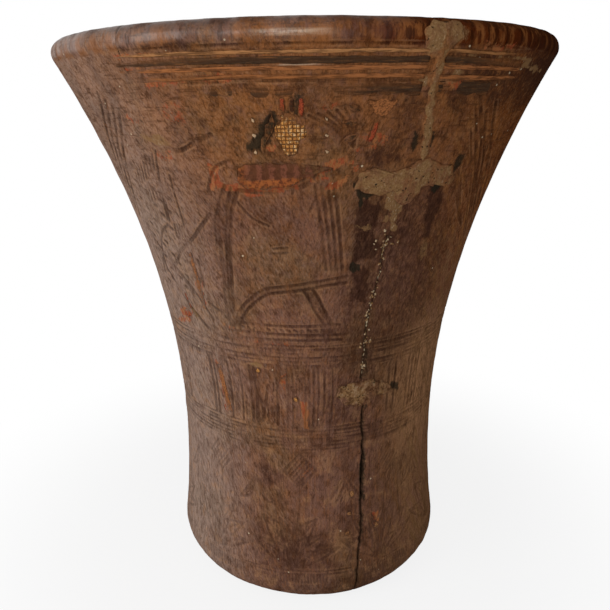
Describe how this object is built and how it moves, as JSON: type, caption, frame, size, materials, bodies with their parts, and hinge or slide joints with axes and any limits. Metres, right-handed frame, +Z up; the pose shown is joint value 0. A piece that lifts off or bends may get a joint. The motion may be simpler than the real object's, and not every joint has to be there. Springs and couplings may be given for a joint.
{
  "type": "kero cup",
  "caption": "Tall flared drinking cup carved from hardwood, with coloured resin inlays in its wall and old putty repairs along a split.",
  "frame": {"origin": "middle of the flat base that the cup stands on", "axes": "+Z up along the cup's axis; -Y towards the front, the side with the split to the right"},
  "size_m": [0.1638, 0.1638, 0.1903],
  "materials": {
    "hardwood": "satin",
    "resin_tan": "satin",
    "resin_dark": "satin",
    "resin_orange": "satin",
    "resin_vermilion": "satin",
    "resin_red": "satin",
    "resin_gold": "satin",
    "resin_green": "satin",
    "putty": "matte"
  },
  "bodies": {
    "root": {"cup_body": "hardwood", "rim_pale_line": "resin_tan", "rim_dark_band": "resin_dark", "rim_upper_line": "resin_orange", "rim_lower_line": "resin_orange", "frieze_top_band": "resin_dark", "rim_repair": "putty", "upper_strip_repair": "putty", "upper_cross_repair": "putty", "middle_strip_repair": "putty", "lower_cross_repair": "putty", "front_tunic": "resin_gold", "front_plumes": "resin_red", "front_cloak": "resin_green", "front_garland": "resin_vermilion", "front_bell_flower": "resin_orange", "front_flower_stem": "resin_red", "front_flower_leaves": "resin_green", "front_seed_dots": "resin_gold", "front_plant_stem": "resin_orange", "front_pelt_chips": "resin_vermilion", "front_register_slash": "resin_orange", "front_register_chips": "resin_gold", "front_lower_chips": "resin_tan", "back_tunic": "resin_gold", "back_plumes": "resin_red", "back_cloak": "resin_green", "back_garland": "resin_vermilion", "back_bell_flower": "resin_orange", "back_flower_stem": "resin_red", "back_flower_leaves": "resin_green", "back_seed_dots": "resin_gold", "back_plant_stem": "resin_orange", "back_pelt_chips": "resin_vermilion", "back_register_slash": "resin_orange", "back_register_chips": "resin_gold", "back_lower_chips": "resin_tan"}
  },
  "joints": []
}
